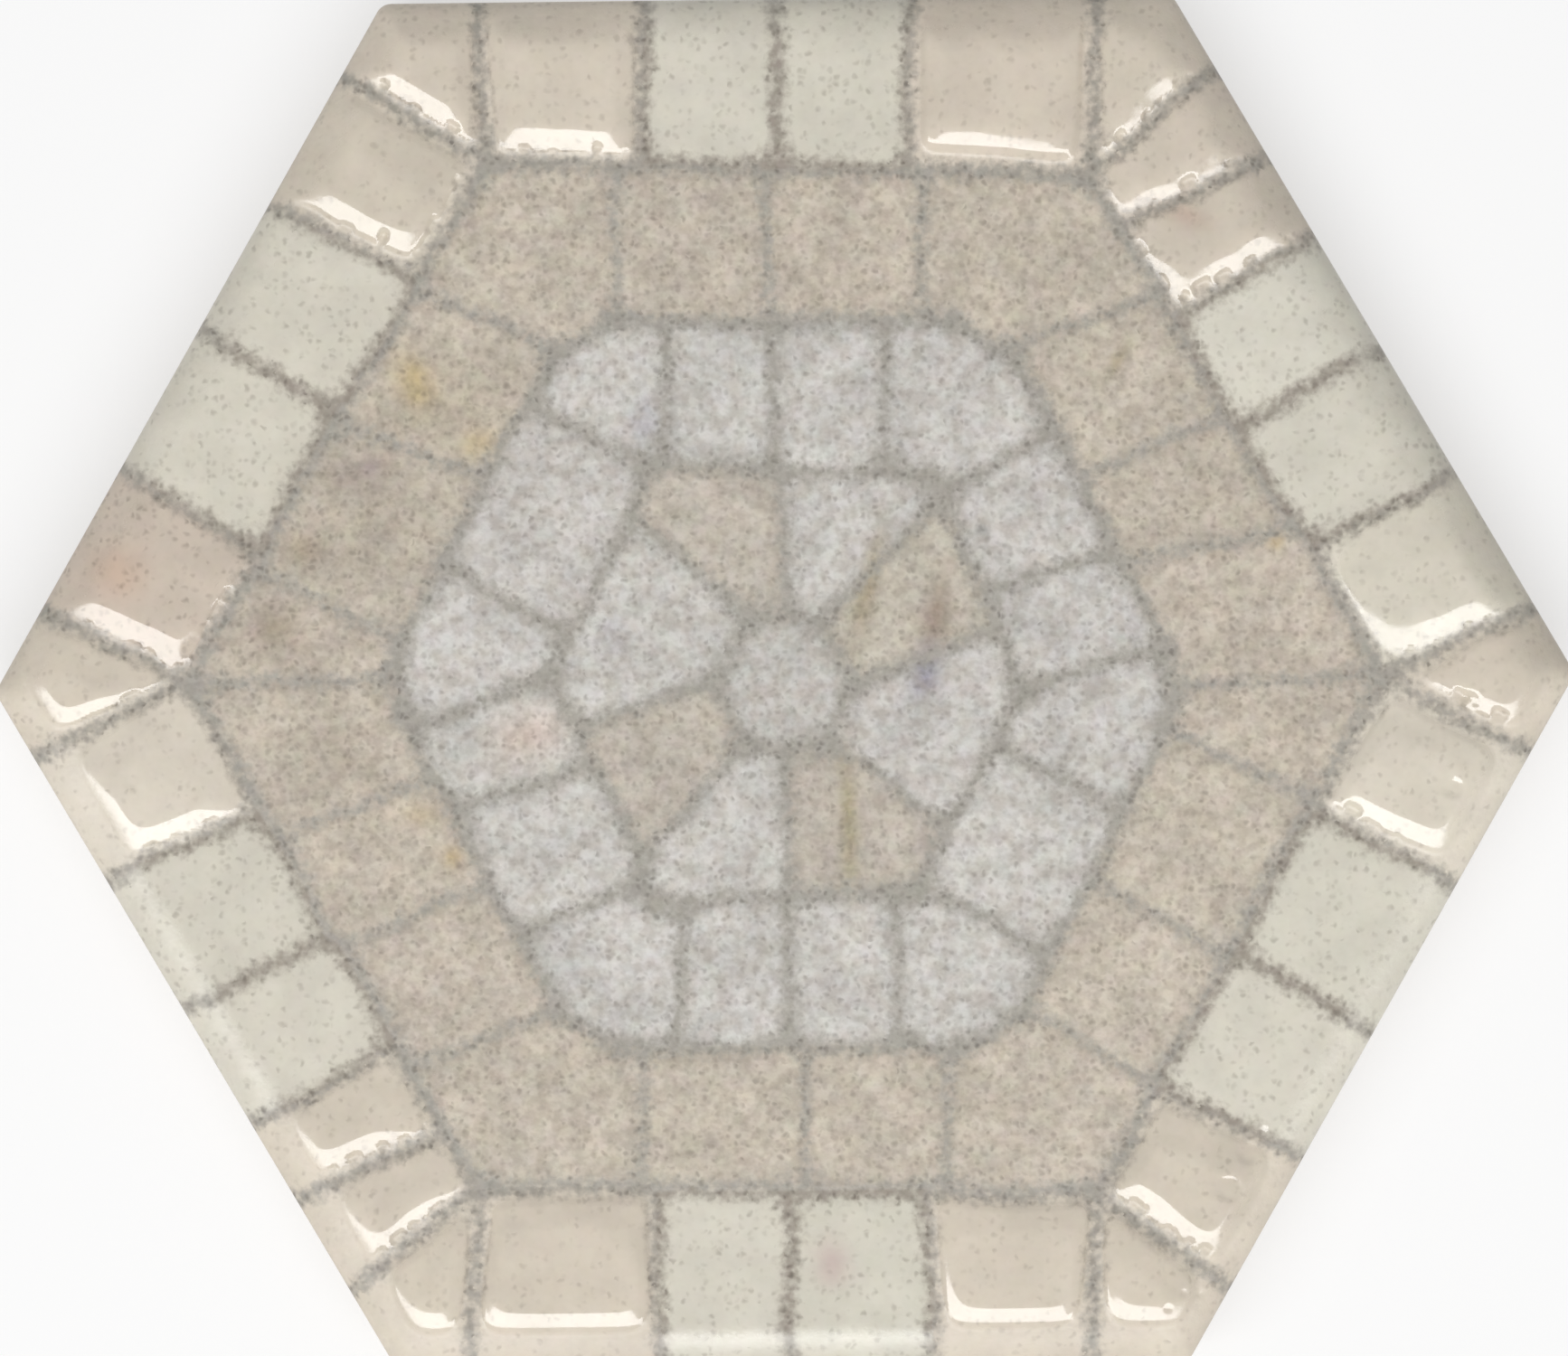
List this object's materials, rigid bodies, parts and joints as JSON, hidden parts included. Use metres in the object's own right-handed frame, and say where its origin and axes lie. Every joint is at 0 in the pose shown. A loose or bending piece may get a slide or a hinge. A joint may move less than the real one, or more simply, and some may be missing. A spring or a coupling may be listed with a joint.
{
  "type": "hexagonal decorative tile",
  "caption": "Flat hexagonal ceramic tile with a rounded rim, a glazed stone-mosaic face, raised glossy stones round the edge and a grooved back for setting in adhesive.",
  "frame": {"origin": "middle of the back, on the plane the tile lies on", "axes": "+Z out of the decorated face, +X through two opposite corners, +Y through the middle of the top side"},
  "size_m": [0.115, 0.1, 0.0089],
  "materials": {
    "glazed_tile": "beige and blue-grey stone-mosaic decor, matte and speckled in the middle, glossy round the rim"
  },
  "bodies": {
    "root": {"hexagonal_tile": "glazed_tile"}
  },
  "joints": []
}
